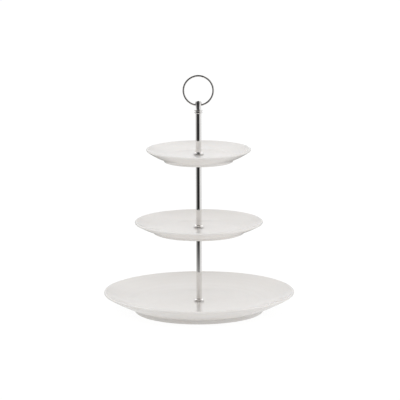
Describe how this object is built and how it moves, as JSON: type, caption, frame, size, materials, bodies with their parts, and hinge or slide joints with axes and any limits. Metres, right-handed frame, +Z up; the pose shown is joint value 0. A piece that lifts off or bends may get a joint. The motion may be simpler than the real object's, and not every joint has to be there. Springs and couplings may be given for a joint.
{
  "type": "tiered cake stand",
  "caption": "Tiered cake stand: round glazed coupe plates, widest at the bottom, on a chromed rod that screws together, with a swinging ring to carry it by.",
  "frame": {"origin": "centre of the bottom plate's foot ring, on the table", "axes": "+Z up along the rod; the carrying ring lies in the XZ plane and is seen face on along +Y"},
  "size_m": [0.27, 0.27, 0.3386],
  "materials": {
    "porcelain": "gloss",
    "chrome": "polished",
    "steel": "satin",
    "gasket": "matte",
    "pad": "satin"
  },
  "bodies": {
    "base": {"bottom_plate": "porcelain", "bottom_under_washer": "steel", "bottom_under_gasket": "gasket", "bottom_collar_pad": "pad", "base_screw": "steel"},
    "bottom_collar": {"bottom_collar": "chrome"},
    "lower_rod": {"lower_rod_tube": "chrome", "lower_rod_foot_insert": "steel", "lower_rod_head_insert": "steel", "middle_under_washer": "steel", "middle_under_gasket": "gasket"},
    "middle_plate": {"middle_plate": "porcelain"},
    "middle_collar": {"middle_collar": "chrome", "middle_collar_pad": "pad"},
    "middle_rod": {"middle_rod_tube": "chrome", "middle_rod_stud": "steel", "middle_rod_head_insert": "steel", "top_under_washer": "steel", "top_under_gasket": "gasket"},
    "top_plate": {"top_plate": "porcelain"},
    "top_collar": {"top_collar": "chrome", "top_collar_pad": "pad"},
    "upper_rod": {"upper_rod_tube": "chrome", "upper_rod_stud": "steel", "finial": "chrome"},
    "ring": {"ring_handle": "chrome"}
  },
  "joints": [
    {"name": "lower_rod_unscrew", "type": "hinge", "parent": "base", "child": "bottom_collar", "pos_m": [0, 0, 0], "axis": [0, 0, 1], "range_deg": [0, 3600]},
    {"name": "lower_rod_lift", "type": "slide", "parent": "bottom_collar", "child": "lower_rod", "axis": [0, 0, 1], "range_m": [0, 0.008]},
    {"name": "middle_plate_turn", "type": "hinge", "parent": "lower_rod", "child": "middle_plate", "pos_m": [0, 0, 0], "axis": [0, 0, 1], "continuous": true},
    {"name": "middle_rod_unscrew", "type": "hinge", "parent": "lower_rod", "child": "middle_collar", "pos_m": [0, 0, 0], "axis": [0, 0, 1], "range_deg": [0, 3600]},
    {"name": "middle_rod_lift", "type": "slide", "parent": "middle_collar", "child": "middle_rod", "axis": [0, 0, 1], "range_m": [0, 0.008]},
    {"name": "top_plate_turn", "type": "hinge", "parent": "middle_rod", "child": "top_plate", "pos_m": [0, 0, 0], "axis": [0, 0, 1], "continuous": true},
    {"name": "upper_rod_unscrew", "type": "hinge", "parent": "middle_rod", "child": "top_collar", "pos_m": [0, 0, 0], "axis": [0, 0, 1], "range_deg": [0, 3600]},
    {"name": "upper_rod_lift", "type": "slide", "parent": "top_collar", "child": "upper_rod", "axis": [0, 0, 1], "range_m": [0, 0.008]},
    {"name": "ring_swing", "type": "hinge", "parent": "upper_rod", "child": "ring", "pos_m": [0, 0, 0.2953], "axis": [1, 0, 0], "range_deg": [-172, 172]}
  ],
  "couplings": [
    {"joint": "lower_rod_unscrew", "follows": "lower_rod_lift", "rad_per_m": 7854},
    {"joint": "middle_rod_unscrew", "follows": "middle_rod_lift", "rad_per_m": 7854},
    {"joint": "upper_rod_unscrew", "follows": "upper_rod_lift", "rad_per_m": 7854}
  ]
}
